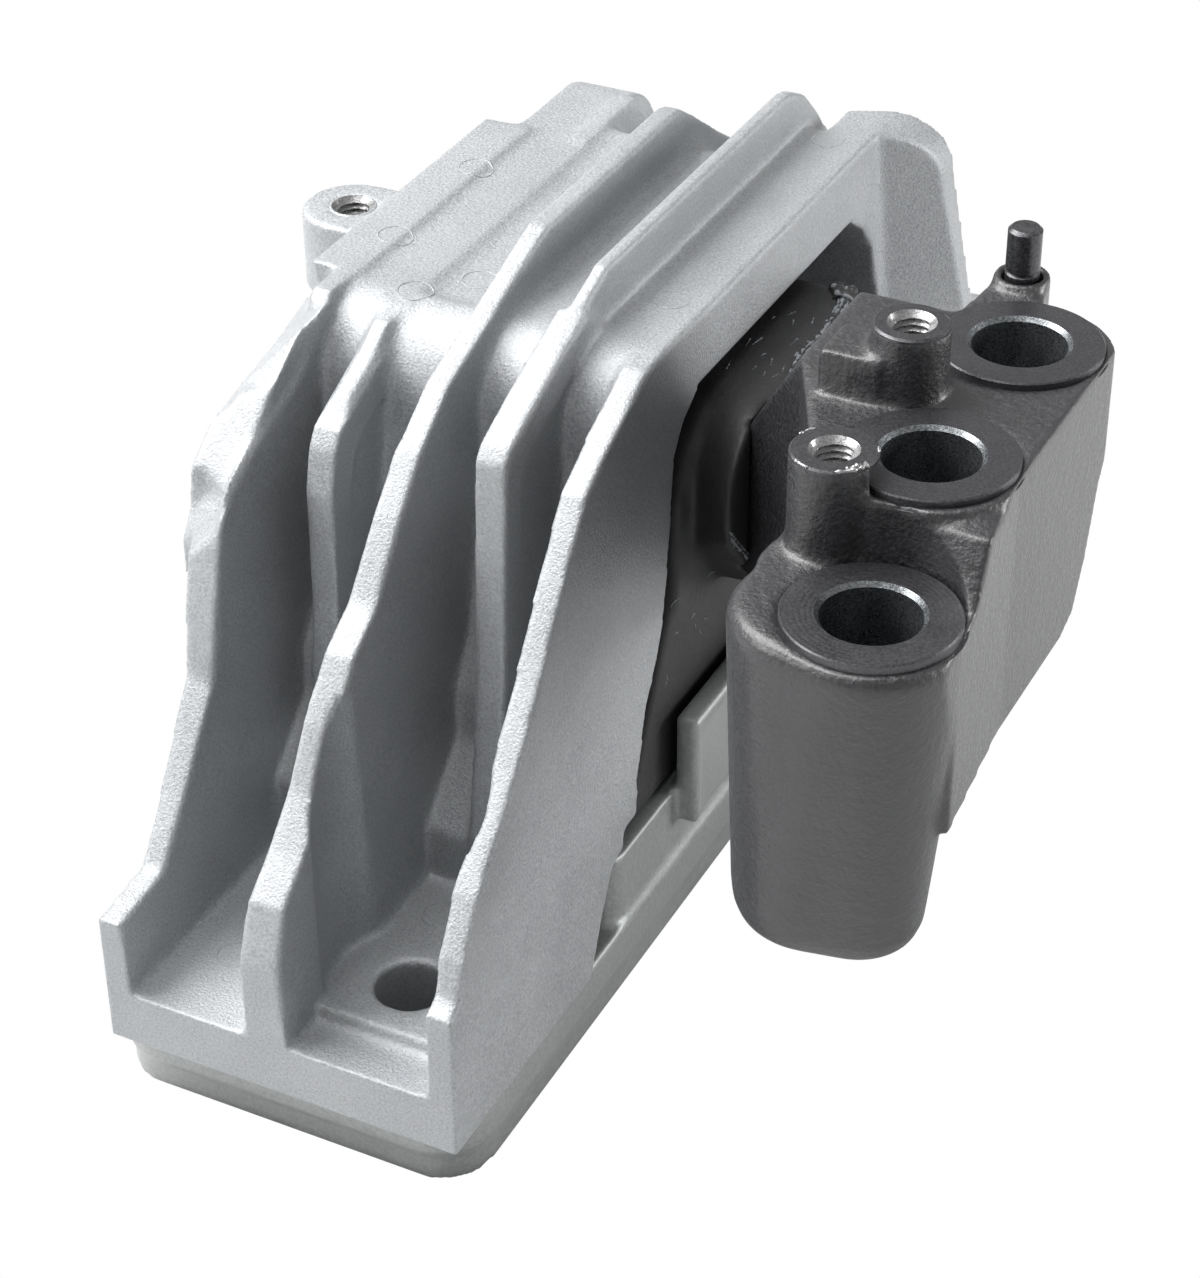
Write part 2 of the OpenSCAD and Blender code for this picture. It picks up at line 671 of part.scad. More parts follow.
// The block round the two upper bores, cut to its side view.
module block() {
    root_x = arm_left_x + 12;
    intersection() {
        translate([0, 0, arm_under_z]) linear_extrude(arm_top_z - arm_under_z) {
            translate(bore_rear) circle(arm_r);
            translate(bore_middle) circle(arm_r);
            translate([arm_left_x, neck_front_y])
                square([bore_middle[0] - arm_left_x, neck_rear_y - neck_front_y]);
            polygon([[arm_left_x, neck_front_y], [root_x, neck_front_y - 24], [root_x, neck_front_y]]);
            translate([root_x, bore_middle[1] - arm_r]) square([bore_middle[0] - root_x, upper_pitch]);
            translate([bore_middle[0] - 1, bore_middle[1]]) square([arm_r + 1, upper_pitch]);
        }
        across(arm_left_x - 5, bore_front[0] + arm_r)
            polygon([[-90, arm_under_z], [-34, arm_under_z], [-29.6, arm_under_z + 1.6], [-26, 79.5],
                [-22.6, 90.5], [-17.6, 98], [-12, 104], [-12, arm_top_z], [-90, arm_top_z]]);
    }
}

// The corner beside the middle hole, which falls steeply to the face round the front hole.
module corner() {
    y = bore_middle[1];
    across(bore_middle[0], bore_front[0] + arm_r)
        polygon([[y, low_top_z - 2], [y, arm_top_z - 1], [y - 12.6, arm_top_z - 1.8],
            [y - 15.3, arm_top_z - 6], [y - 18, low_top_z], [y - 18, low_top_z - 2]]);
}

// The web between the front column and the block.
module front_web() {
    translate([0, 0, arm_under_z]) linear_extrude(low_top_z - arm_under_z)
        polygon([bore_front + [arm_side_out, 0], bore_middle + [arm_side_out, 0], bore_middle + [-14, 4],
            bore_front + [-19, 8], bore_front + [-16, -4]]);
}

// Everything on the inner side of the arm's outer face.
module inside_face() {
    front = bore_front + [arm_side_out, 0];
    middle = bore_middle + [arm_side_out, 0];
    linear_extrude(far) polygon([[0, -far], [front[0], -far], front, middle, [middle[0], far], [0, far]]);
}

// The pin's pillar and the web that joins it to the block.
module pin_pillar() {
    foot_z = arm_top_z - 22;
    translate([pin_at[0], pin_at[1], foot_z]) cylinder(d = collar_d, h = pin_collar_z - foot_z);
    translate([0, 0, foot_z]) linear_extrude(arm_top_z - foot_z)
        polygon([pin_at + [-5.7, -16], pin_at + [-collar_d / 2 + 0.3, 0], pin_at + [collar_d / 2 - 0.3, 0],
            pin_at + [7, -12]]);
}

// The two tapped bosses and the small block beside the rear one.
module bosses() {
    sunk = 5;
    tab = [9, 9, 6.6];
    translate([boss_front[0], boss_front[1], low_top_z - sunk])
        cylinder(d = front_boss_d, h = front_boss_h + sunk);
    translate([boss_rear[0], boss_rear[1], arm_top_z - sunk])
        cylinder(d = rear_boss_d, h = rear_boss_h + sunk);
    translate([boss_rear[0] - 11, boss_rear[1] - 6, arm_top_z - sunk]) cube(tab + [0, 0, sunk]);
}

module arm() {
    color([0.13, 0.13, 0.14]) difference() {
        union() {
            tongue();
            neck();
            intersection() {
                union() {
                    column();
                    block();
                    corner();
                    front_web();
                }
                inside_face();
            }
            translate([bore_front[0], bore_front[1], low_top_z - 1]) cylinder(d = ring_d, h = 1 + ring_h);
            for (b = [bore_middle, bore_rear])
                translate([b[0], b[1], arm_top_z - 1]) cylinder(d = ring_d, h = 1 + ring_h);
            bosses();
            pin_pillar();
        }
        translate([bore_front[0], bore_front[1], low_top_z + ring_h]) cylinder(d = ring_d + 0.8, h = far);
        translate([bore_front[0], bore_front[1], column_z - 1]) cylinder(d = arm_bore, h = far);
        for (b = [bore_middle, bore_rear])
            translate([b[0], b[1], arm_under_z - 1]) cylinder(d = arm_bore, h = far);
        translate([boss_front[0], boss_front[1], front_boss_z - tap_depth]) cylinder(d = boss_tap, h = far);
        translate([boss_rear[0], boss_rear[1], rear_boss_z - tap_depth]) cylinder(d = boss_tap, h = far);
        translate([pin_at[0], pin_at[1], pin_collar_z - pin_sunk]) cylinder(d = pin_shank_d, h = far);
    }
}

module locating_pin() {
    color("dimgray") translate([pin_at[0], pin_at[1], pin_collar_z]) {
        cylinder(d = pin_d, h = pin_l);
        translate([0, 0, -pin_sunk]) cylinder(d = pin_shank_d, h = pin_sunk);
    }
}

bridge();
base();
arm();
locating_pin();
main_spring();
spring_ring();
upper_orifice_plate();
decoupler_membrane();
lower_orifice_plate();
bellows();
bellows_ring();
bottom_cover();
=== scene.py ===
# %% [markdown]
# # Dressing a hydraulic engine mount
#
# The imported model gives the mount's true solids. This script keeps them as the frame, and dresses
# each one that shows with a finished surface: cast aluminium, painted iron, machined rings, threads
# and rubber. Everything is in metres, in the frame of the solids, with X across the ribs towards
# the iron arm, Y along the bridge and Z up from the base's underside. Outlines that were traced
# from the photograph are written in millimetres, and MM turns them into metres.

# %% Load the frame
import json
import math

import bmesh
import bpy
import numpy as np
from mathutils import Matrix, Vector
from mathutils.bvhtree import BVHTree


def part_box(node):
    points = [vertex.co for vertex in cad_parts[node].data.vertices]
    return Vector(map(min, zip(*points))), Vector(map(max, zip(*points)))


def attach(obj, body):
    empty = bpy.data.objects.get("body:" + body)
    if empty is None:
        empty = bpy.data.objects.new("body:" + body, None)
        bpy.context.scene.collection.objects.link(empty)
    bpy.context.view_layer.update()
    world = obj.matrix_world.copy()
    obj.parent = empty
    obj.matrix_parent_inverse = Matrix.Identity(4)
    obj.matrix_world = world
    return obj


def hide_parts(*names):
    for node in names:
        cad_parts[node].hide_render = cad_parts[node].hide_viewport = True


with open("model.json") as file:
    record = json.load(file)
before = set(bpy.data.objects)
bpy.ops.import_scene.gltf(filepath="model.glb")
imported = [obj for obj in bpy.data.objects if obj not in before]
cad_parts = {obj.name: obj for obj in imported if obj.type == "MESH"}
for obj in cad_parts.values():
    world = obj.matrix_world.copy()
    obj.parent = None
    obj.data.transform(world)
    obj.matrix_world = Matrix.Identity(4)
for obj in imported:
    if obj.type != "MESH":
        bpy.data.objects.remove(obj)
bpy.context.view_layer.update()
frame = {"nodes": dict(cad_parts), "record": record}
nodes = frame["nodes"]
MM = 0.001
mounts = {m["name"]: m for m in frame["record"]["mounts"]}
print("nodes:", ", ".join(sorted(nodes)))


def linked(name, data):
    """A new object in the scene."""
    obj = bpy.data.objects.new(name, data)
    bpy.context.scene.collection.objects.link(obj)
    return obj

# %% [markdown]
# ## Camera
#
# The camera stands where the photograph was taken from: in front of the mount, to the right of it
# and above it. Its place and its turn were worked out from the straight edges and round holes.

# %% Set the camera
AZIMUTH = math.radians(26.83)
ELEVATION = math.radians(34.68)
ROLL = math.radians(-0.437)
EYE = Vector((0.1917, -0.3881, 0.3229))
LENS_MM = 87.7
SENSOR_MM = 36

forward = Vector((-math.sin(AZIMUTH) * math.cos(ELEVATION),
                  math.cos(AZIMUTH) * math.cos(ELEVATION),
                  -math.sin(ELEVATION)))
level_right = Vector((math.cos(AZIMUTH), math.sin(AZIMUTH), 0))
level_up = level_right.cross(forward)
right = math.cos(ROLL) * level_right + math.sin(ROLL) * level_up
up = -math.sin(ROLL) * level_right + math.cos(ROLL) * level_up

camera_data = bpy.data.cameras.new("camera")
camera_data.sensor_width = SENSOR_MM
camera_data.lens = LENS_MM
camera_data.clip_start = 0.01
camera_data.clip_end = 20
camera = linked("camera", camera_data)
turn = Matrix((right, up, -forward)).transposed().to_4x4()
camera.matrix_world = Matrix.Translation(EYE) @ turn
bpy.context.scene.camera = camera
bpy.context.scene.view_settings.view_transform = "Standard"
print("camera at", tuple(round(c, 3) for c in EYE))

# %% [markdown]
# ## Floor and sky
#
# The mount stands on a plain pale floor. The floor and the sky look white to the camera, as the
# photograph's background does. Reflections see the sky at half that strength, which gives the black
# iron its sheen. The light that the sky casts on the object is much weaker, so that the deep bays
# between the ribs stay dark.

# %% Define the backdrop tools
def node_tree(material):
    """Clears a material and returns its nodes, its links and its output."""
    material.use_nodes = True
    tree = material.node_tree
    tree.nodes.clear()
    return tree.nodes, tree.links, tree.nodes.new("ShaderNodeOutputMaterial")


def white_backdrop(nodes_, links, output, shader, kind, rays):
    """Shows white of a given strength to the named rays, and the given shader to the rest."""
    path = nodes_.new("ShaderNodeLightPath")
    last = shader
    for ray, strength in rays:
        white = nodes_.new(kind)
        white.inputs["Color"].default_value = (1, 1, 1, 1)
        white.inputs["Strength"].default_value = strength
        mix = nodes_.new("ShaderNodeMixShader")
        links.new(path.outputs[ray], mix.inputs[0])
        links.new(last.outputs[0], mix.inputs[1])
        links.new(white.outputs[0], mix.inputs[2])
        last = mix
    links.new(last.outputs[0], output.inputs["Surface"])


print("backdrop tools ready")

# %% Make the floor and the sky
FLOOR_HALF = 1.6
FLOOR_DROP = 0.0002
FLOOR_GREY = 0.72
SKY_TINT = (0.90, 0.95, 1.0)
SKY_LIGHT = 0.15
SKY_IN_GLOSS = 0.5

floor_material = bpy.data.materials.new("floor")
ns, ls, out = node_tree(floor_material)
paint = ns.new("ShaderNodeBsdfDiffuse")
paint.inputs["Color"].default_value = (FLOOR_GREY, FLOOR_GREY, FLOOR_GREY, 1)
white_backdrop(ns, ls, out, paint, "ShaderNodeEmission", [("Is Camera Ray", 1.0)])

floor_mesh = bpy.data.meshes.new("floor")
floor_mesh.from_pydata([(-FLOOR_HALF, -FLOOR_HALF, 0), (FLOOR_HALF, -FLOOR_HALF, 0),
                        (FLOOR_HALF, FLOOR_HALF, 0), (-FLOOR_HALF, FLOOR_HALF, 0)],
                       [], [(0, 1, 2, 3)])
floor = linked("floor", floor_mesh)
floor.location.z = -FLOOR_DROP
floor.data.materials.append(floor_material)

world = bpy.data.worlds.new("studio")
bpy.context.scene.world = world
world.use_nodes = True
ns, ls = world.node_tree.nodes, world.node_tree.links
ns.clear()
out = ns.new("ShaderNodeOutputWorld")
sky = ns.new("ShaderNodeBackground")
sky.inputs["Color"].default_value = (*SKY_TINT, 1)
sky.inputs["Strength"].default_value = SKY_LIGHT
white_backdrop(ns, ls, out, sky, "ShaderNodeBackground",
               [("Is Glossy Ray", SKY_IN_GLOSS), ("Is Camera Ray", 1.0)])
print("a floor and a sky")

# %% [markdown]
# ## Lamps
#
# The light is soft and comes mostly from the upper left. A weak lamp on the right lights the faces
# of the arm that look away from the ribs.

# %% Hang the lamps
def lamp(name, place, target, size, power):
    """A square area lamp that faces its target."""
    data = bpy.data.lights.new(name, "AREA")
    data.shape = "SQUARE"
    data.size = size
    data.energy = power
    obj = linked(name, data)
    obj.location = place
    way = Vector(target) - Vector(place)
    obj.rotation_euler = way.to_track_quat("-Z", "Y").to_euler()


# Each lamp has a place, a size in metres and a power in watts.
MIDDLE = (0.01, 0.0, 0.06)
LAMPS = {
    "key_lamp": ((-0.6, -0.05, 0.9), 0.7, 18.0),
    "top_lamp": ((-0.1, -0.2, 1.1), 0.5, 6.0),
    "left_lamp": ((-0.8, -0.7, 0.6), 0.5, 6.0),
    "right_lamp": ((0.9, 0.5, 0.25), 0.4, 6.5),
}
for name, (place, size, power) in LAMPS.items():
    lamp(name, place, MIDDLE, size, power)
print("hung", len(LAMPS), "lamps")

# %% [markdown]
# ## Turning solids into castings
#
# A solid has sharp edges, and a casting has none. So each cast piece starts as a copy of its solid,
# and holes that get a finished wall of their own are widened first.

# %% Define the copying and cutting tools
def copy_of(node, name):
    """A new object with a copy of a solid's mesh, welded where its faces meet."""
    mesh = nodes[node].data.copy()
    mesh.name = name
    bm = bmesh.new()
    bm.from_mesh(mesh)
    bmesh.ops.remove_doubles(bm, verts=bm.verts, dist=2e-6)
    bm.to_mesh(mesh)
    bm.free()
    return linked(name, mesh)


def bake(obj):
    """Applies an object's modifiers to its mesh."""
    bpy.context.view_layer.update()
    graph = bpy.context.evaluated_depsgraph_get()
    made = bpy.data.meshes.new_from_object(obj.evaluated_get(graph),
                                           preserve_all_data_layers=False, depsgraph=graph)
    obj.modifiers.clear()
    old = obj.data
    obj.data = made
    made.name = obj.name
    bpy.data.meshes.remove(old)


def cylinder_between(name, centre, z0, z1, radius, sides=64):
    """A plain upright cylinder, used to cut with."""
    bm = bmesh.new()
    bmesh.ops.create_cone(bm, cap_ends=True, segments=sides, radius1=radius, radius2=radius,
                          depth=z1 - z0)
    bmesh.ops.translate(bm, verts=bm.verts, vec=(centre[0], centre[1], (z0 + z1) / 2))
    mesh = bpy.data.meshes.new(name)
    bm.to_mesh(mesh)
    bm.free()
    return linked(name, mesh)


def cut_holes(obj, holes):
    """Cuts upright holes, each given as its centre, its ends and its radius."""
    cutters = []
    for centre, z0, z1, radius in holes:
        cutter = cylinder_between("cutter", centre, z0, z1, radius)
        cutters.append(cutter)
        step = obj.modifiers.new("cut", "BOOLEAN")
        step.operation = "DIFFERENCE"
        step.solver = "EXACT"
        step.object = cutter
    bake(obj)
    for cutter in cutters:
        bpy.data.objects.remove(cutter)


def empty_mesh(name):
    """A new object with nothing in it yet."""
    return linked(name, bpy.data.meshes.new(name))


def cut_by(obj, cutter):
    """Cuts one object by another, and removes the cutter."""
    step = obj.modifiers.new("cut", "BOOLEAN")
    step.operation = "DIFFERENCE"
    step.solver = "EXACT"
    step.object = cutter
    bake(obj)
    bpy.data.objects.remove(cutter)


print("copying and cutting tools ready")

# %% [markdown]
# Some forms lie so close to the solid that they are shaped here: prisms and sloping slabs, which are
# added to the copy and melt into it when it is remeshed.

# %% Define the shaping tools
def add_solid(obj, outline, x0, x1):
    """Adds a prism to a mesh: an outline in Y and Z, drawn from one X to another, in millimetres."""
    bm = bmesh.new()
    bm.from_mesh(obj.data)
    ends = []
    for x in (x0, x1):
        ends.append([bm.verts.new((x * MM, y * MM, z * MM)) for y, z in outline])
    n = len(outline)
    made = [bm.faces.new(ends[0]), bm.faces.new(ends[1][::-1])]
    for i in range(n):
        j = (i + 1) % n
        made.append(bm.faces.new((ends[0][j], ends[0][i], ends[1][i], ends[1][j])))
    bmesh.ops.recalc_face_normals(bm, faces=made)
    bm.to_mesh(obj.data)
    bm.free()


def add_loft(obj, left, right, rise):
    """Adds a slab between two lines of points and the same lines moved up or down."""
    bm = bmesh.new()
    bm.from_mesh(obj.data)
    rows = [[bm.verts.new(Vector((x, y, z + up)) * MM) for x, y, z in line]
            for line, up in ((left, 0), (right, 0), (right, rise), (left, rise))]
    made = []
    n = len(left)
    for a, b in zip(rows, rows[1:] + rows[:1]):
        for k in range(n - 1):
            made.append(bm.faces.new((a[k], a[k + 1], b[k + 1], b[k])))
    made.append(bm.faces.new([row[0] for row in rows]))
    made.append(bm.faces.new([row[-1] for row in rows]))
    bmesh.ops.recalc_face_normals(bm, faces=made)
    bm.to_mesh(obj.data)
    bm.free()


def thick_edge(obj, front, x0, x1):
    """Thickens a rib along its sloping front edge, given as points in Y and Z."""
    inner = [(y + 5, z - 4) for y, z in front]
    add_solid(obj, front + inner[::-1], x0, x1)


print("shaping tools ready")

# %% [markdown]
# The copy is then remeshed into small even squares, metal fills its inner corners in soft fillets,
# its outer edges are worn round, and its flat parts are thinned out. All of it stays inside the
# solid's own box.

# %% Define the casting tools
def mesh_arrays(mesh):
    """A mesh's points and edges as arrays."""
    points = np.empty(len(mesh.vertices) * 3)
    mesh.vertices.foreach_get("co", points)
    edges = np.empty(len(mesh.edges) * 2, np.int64)
    mesh.edges.foreach_get("vertices", edges)
    return points.reshape(-1, 3), edges.reshape(-1, 2)


def point_normals(mesh):
    """The normal at each point."""
    normals = np.empty(len(mesh.vertices) * 3)
    mesh.vertex_normals.foreach_get("vector", normals)
    return normals.reshape(-1, 3)


def neighbour_mean(points, edges):
    """For each point, the mean of the points that it shares an edge with."""
    count = np.bincount(edges.ravel(), minlength=len(points)).astype(float)
    total = np.empty_like(points)
    for axis in range(3):
        values = points[:, axis]
        total[:, axis] = np.bincount(edges[:, 0], values[edges[:, 1]], len(points))
        total[:, axis] += np.bincount(edges[:, 1], values[edges[:, 0]], len(points))
    return total / np.maximum(count, 1)[:, None]


FILL_PACE = 0.7
WEAR_PACE = 0.5
FLAT_ENOUGH = 0.004
FLOOR_BAND = 0.3


def cast_round(obj, voxel, fill_steps, wear_steps, keep=()):
    """Remeshes a solid, fills its inner corners and wears its outer edges round.

    Inside the upright cylinders in keep, each a centre and a radius, nothing is filled.
    """
    step = obj.modifiers.new("squares", "REMESH")
    step.mode = "VOXEL"
    step.voxel_size = voxel
    step.use_smooth_shade = True
    solid_points = np.array([v.co for v in obj.data.vertices])
    low, high = solid_points.min(axis=0), solid_points.max(axis=0)
    bake(obj)
    mesh = obj.data
    points, edges = mesh_arrays(mesh)
    free = np.ones(len(points))
    for centre, radius in keep:
        away = np.hypot(points[:, 0] - centre[0], points[:, 1] - centre[1])
        free[away < radius] = 0
    floor_level = points[:, 2].min() + FLOOR_BAND * voxel
    free[points[:, 2] < floor_level] = 0
    for _ in range(fill_steps):
        normals = point_normals(mesh)
        pull = neighbour_mean(points, edges) - points
        hollow = np.einsum("ij,ij->i", pull, normals)
        hollow = np.clip(hollow - FLAT_ENOUGH * voxel, 0, None) * free
        points = points + FILL_PACE * hollow[:, None] * normals
        mesh.vertices.foreach_set("co", points.ravel())
        mesh.update()
    for _ in range(wear_steps):
        points = points + WEAR_PACE * (neighbour_mean(points, edges) - points)
    points = np.clip(points, low, high)
    mesh.vertices.foreach_set("co", points.ravel())
    mesh.update()


def thin_out(obj, triangles):
    """Thins a mesh to about the given number of triangles, mostly where it is flat."""
    now = sum(len(p.vertices) - 2 for p in obj.data.polygons)
    if now > triangles:
        step = obj.modifiers.new("thin", "DECIMATE")
        step.ratio = triangles / now
        bake(obj)
    for polygon in obj.data.polygons:
        polygon.use_smooth = True
    print(obj.name, "has", len(obj.data.polygons), "faces")


print("casting tools ready")

# %% [markdown]
# ## Laying strands
#
# Beads, burrs, marks and chalky lines are thin strands that lie on a skin, and some chalky lines
# paint a highlight. To find where one lies, rays are sent at the skin from a line of points.

# %% Define the laying tools
def skin_tree(obj):
    """A search tree of an object's faces, used to lay strands on it."""
    bm = bmesh.new()
    bm.from_mesh(obj.data)
    tree = BVHTree.FromBMesh(bm)
    bm.free()
    return tree


def lay(tree, points, direction, jump=0.0012):
    """Moves points along a direction until they meet a skin, and keeps the longest unbroken run."""
    way = Vector(direction)
    runs = [[]]
    for p in points:
        hit = tree.ray_cast(Vector(p), way)[0]
        if hit is None:
            runs.append([])
        elif runs[-1] and (hit - Vector(runs[-1][-1])).length > jump:
            runs.append([tuple(hit)])
        else:
            runs[-1].append(tuple(hit))
    return max(runs, key=len)


def along(corners, spacing):
    """Evenly spaced points on the straight lines between corners."""
    points = [corners[0]]
    for a, b in zip(corners, corners[1:]):
        a, b = np.array(a, float), np.array(b, float)
        steps = max(1, int(np.linalg.norm(b - a) / spacing))
        points += [tuple(a + (b - a) * (k + 1) / steps) for k in range(steps)]
    return points


def circle(centre, radius, z, count=40, start=0.0, sweep=2 * math.pi):
    """Points on a level circle, or on a part of one."""
    angles = [start + sweep * k / count for k in range(count + (sweep < 2 * math.pi))]
    return [(centre[0] + radius * math.cos(a), centre[1] + radius * math.sin(a), z) for a in angles]


print("laying tools ready")

# %% [markdown]
# A strand is a row of rings of points. Its thickness can wobble, and it can fade out where the
# wobble takes it to nothing.

# %% Define the strand tool
THINNEST = 0.02


def mesh_object(name, verts, faces, smooth=False):
    """A new object made of points and faces."""
    mesh = bpy.data.meshes.new(name)
    mesh.from_pydata(verts, [], faces)
    mesh.update()
    for polygon in mesh.polygons:
        polygon.use_smooth = smooth
    return linked(name, mesh)


def strands(name, rows, seed, sides=6):
    """One mesh of round strands.

    Each row gives a strand's points, its radius, its wobble and whether it closes.
    """
    random = np.random.default_rng(seed)
    verts = []
    faces = []
    for points, radius, wobble, closed in rows:
        n = len(points)
        if n < 3:
            continue
        line = np.array(points)
        ahead = np.roll(line, -1, 0) if closed else np.vstack((line[1:], line[-1:]))
        behind = np.roll(line, 1, 0) if closed else np.vstack((line[:1], line[:-1]))
        tangent = ahead - behind
        tangent /= np.linalg.norm(tangent, axis=1)[:, None] + 1e-12
        level = np.where(np.abs(tangent[:, 2:]) < 0.9, (0.0, 0.0, 1.0), (1.0, 0.0, 0.0))
        side = np.cross(tangent, level)
        side /= np.linalg.norm(side, axis=1)[:, None] + 1e-12
        over = np.cross(side, tangent)
        thick = radius * np.clip(1 + wobble * random.uniform(-1, 1, n), THINNEST, None)
        if not closed:
            thick[0] = thick[-1] = THINNEST * radius
        start = len(verts)
        for k in range(sides):
            angle = 2 * math.pi * k / sides
            ring = line + thick[:, None] * (math.cos(angle) * side + math.sin(angle) * over)
            verts += [tuple(v) for v in ring]
        for k in range(sides):
            a, b = start + k * n, start + (k + 1) % sides * n
            for i in range(n if closed else n - 1):
                j = (i + 1) % n
                faces.append((a + i, a + j, b + j, b + i))
        if not closed:
            faces.append(tuple(start + k * n for k in range(sides)))
            faces.append(tuple(start + k * n + n - 1 for k in reversed(range(sides))))
    return mesh_object(name, verts, faces, smooth=True)


print("strand tool ready")

# %% [markdown]
# ## Materials
#
# Each material mixes two sizes of noise into its colour and its gloss, and raises a fine grain as a
# bump. All of them read the object's own coordinates, so the grain stays on the metal in any view.

# %% Define the noise tools
def grain(ns, ls, coords, scale, detail=4.0, rough=0.6):
    """A noise texture at a number of bumps to the metre."""
    noise = ns.new("ShaderNodeTexNoise")
    noise.inputs["Scale"].default_value = scale
    noise.inputs["Detail"].default_value = detail
    noise.inputs["Roughness"].default_value = rough
    ls.new(coords.outputs["Object"], noise.inputs["Vector"])
    return noise


def ramp(ns, ls, source, stops):
    """A colour ramp on a texture's value, given as places and colours."""
    node = ns.new("ShaderNodeValToRGB")
    while len(node.color_ramp.elements) < len(stops):
        node.color_ramp.elements.new(0.5)
    for element, (place, colour) in zip(node.color_ramp.elements, stops):
        element.position = place
        element.color = (*colour, 1)
    ls.new(source, node.inputs["Fac"])
    return node


def span(ns, ls, source, low, high):
    """Spreads a value from 0..1 to low..high."""
    node = ns.new("ShaderNodeMapRange")
    node.inputs["From Min"].default_value = 0.3
    node.inputs["From Max"].default_value = 0.7
    node.inputs["To Min"].default_value = low
    node.inputs["To Max"].default_value = high
    ls.new(source, node.inputs["Value"])
    return node


def raised(ns, ls, height, depth, under=None):
    """A bump of a given depth, laid over another one."""
    bump = ns.new("ShaderNodeBump")
    bump.inputs["Distance"].default_value = depth
    ls.new(height, bump.inputs["Height"])
    if under is not None:
        ls.new(under.outputs["Normal"], bump.inputs["Normal"])
    return bump


print("noise tools ready")

# %% Define the metal
COAT_IOR = 1.5
COAT_ROUGHNESS = 0.25
FINE_SHARE = 0.7
COLOUR_FROM, COLOUR_TO = 0.35, 0.65
TURNS_PER_METRE = 420
TURNS_WAVER = 0.6


def metal(name, dark, light, metallic, rough, patch, fine, bump_size, bump_depth, coat=0.0,
          sheen=0.5, lumps=None, turned=0.0):
    """A skin with patches of colour and a raised fine grain.

    It may also have lumps, as a number to the metre and a height, and turning marks of a given
    depth, which are circles about the object's own upright axis.
    """
    material = bpy.data.materials.new(name)
    ns, ls, out = node_tree(material)
    skin = ns.new("ShaderNodeBsdfPrincipled")
    skin.inputs["Metallic"].default_value = metallic
    skin.inputs["Coat Weight"].default_value = coat
    skin.inputs["Coat IOR"].default_value = COAT_IOR
    skin.inputs["Coat Roughness"].default_value = COAT_ROUGHNESS
    skin.inputs["Specular IOR Level"].default_value = sheen
    coords = ns.new("ShaderNodeTexCoord")
    patches = grain(ns, ls, coords, patch)
    fine_grain = grain(ns, ls, coords, fine, detail=2.0)
    blend = ns.new("ShaderNodeMix")
    blend.data_type = "FLOAT"
    blend.inputs["Factor"].default_value = FINE_SHARE
    ls.new(patches.outputs["Fac"], blend.inputs["A"])
    ls.new(fine_grain.outputs["Fac"], blend.inputs["B"])
    colour = ramp(ns, ls, blend.outputs["Result"], [(COLOUR_FROM, dark), (COLOUR_TO, light)])
    ls.new(colour.outputs["Color"], skin.inputs["Base Color"])
    gloss = span(ns, ls, fine_grain.outputs["Fac"], rough[0], rough[1])
    ls.new(gloss.outputs["Result"], skin.inputs["Roughness"])
    bump = raised(ns, ls, grain(ns, ls, coords, bump_size, detail=3.0).outputs["Fac"], bump_depth)
    if lumps:
        size, depth = lumps
        bump = raised(ns, ls, grain(ns, ls, coords, size, detail=2.0).outputs["Fac"], depth, bump)
    if turned:
        circles = ns.new("ShaderNodeTexWave")
        circles.wave_type = "RINGS"
        circles.rings_direction = "Z"
        circles.inputs["Scale"].default_value = TURNS_PER_METRE
        circles.inputs["Distortion"].default_value = TURNS_WAVER
        ls.new(coords.outputs["Object"], circles.inputs["Vector"])
        bump = raised(ns, ls, circles.outputs["Fac"], turned, bump)
    ls.new(bump.outputs["Normal"], skin.inputs["Normal"])
    ls.new(skin.outputs[0], out.inputs["Surface"])
    return material


print("metal ready")

# %% [markdown]
# The blasted aluminium of the bridge is light and finely grained. The base is smoother. The iron's
# thick paint has low lumps under a thin coat. Machined and bored iron shine more, and rubber is dull.
# Patch, fine and bump sizes are numbers to the metre, and a bump's depth is in metres.

# %% Mix the materials
blasted = metal("blasted_aluminium", dark=(0.27, 0.28, 0.29), light=(0.44, 0.45, 0.46),
                metallic=0.4, rough=(0.4, 0.6), patch=40, fine=2400,
                bump_size=2500, bump_depth=0.00014)
smooth_cast = metal("smooth_aluminium", dark=(0.28, 0.29, 0.29), light=(0.38, 0.39, 0.38),
                    metallic=0.45, rough=(0.42, 0.55), patch=60, fine=1500,
                    bump_size=900, bump_depth=0.00005)
black_iron = metal("painted_iron", dark=(0.008, 0.008, 0.009), light=(0.024, 0.024, 0.027),
                   metallic=0.0, rough=(0.38, 0.6), patch=120, fine=1800,
                   bump_size=1300, bump_depth=0.00025, coat=0.45, sheen=0.6,
                   lumps=(420, 0.00025))
machined = metal("machined_iron", dark=(0.06, 0.06, 0.065), light=(0.11, 0.11, 0.115),
                 metallic=0.8, rough=(0.3, 0.42), patch=200, fine=3000,
                 bump_size=2500, bump_depth=0.00002, turned=0.00001)
bored = metal("bored_iron", dark=(0.10, 0.11, 0.115), light=(0.26, 0.27, 0.28),
              metallic=0.85, rough=(0.22, 0.4), patch=260, fine=3000,
              bump_size=2500, bump_depth=0.00003)
thread_metal = metal("thread_metal", dark=(0.2, 0.2, 0.2), light=(0.36, 0.36, 0.36),
                     metallic=0.6, rough=(0.2, 0.4), patch=300, fine=3000,
                     bump_size=2500, bump_depth=0.00002)
pin_metal = metal("pin_metal", dark=(0.05, 0.05, 0.055), light=(0.12, 0.12, 0.125),
                  metallic=0.8, rough=(0.25, 0.45), patch=250, fine=2500,
                  bump_size=1800, bump_depth=0.00005)
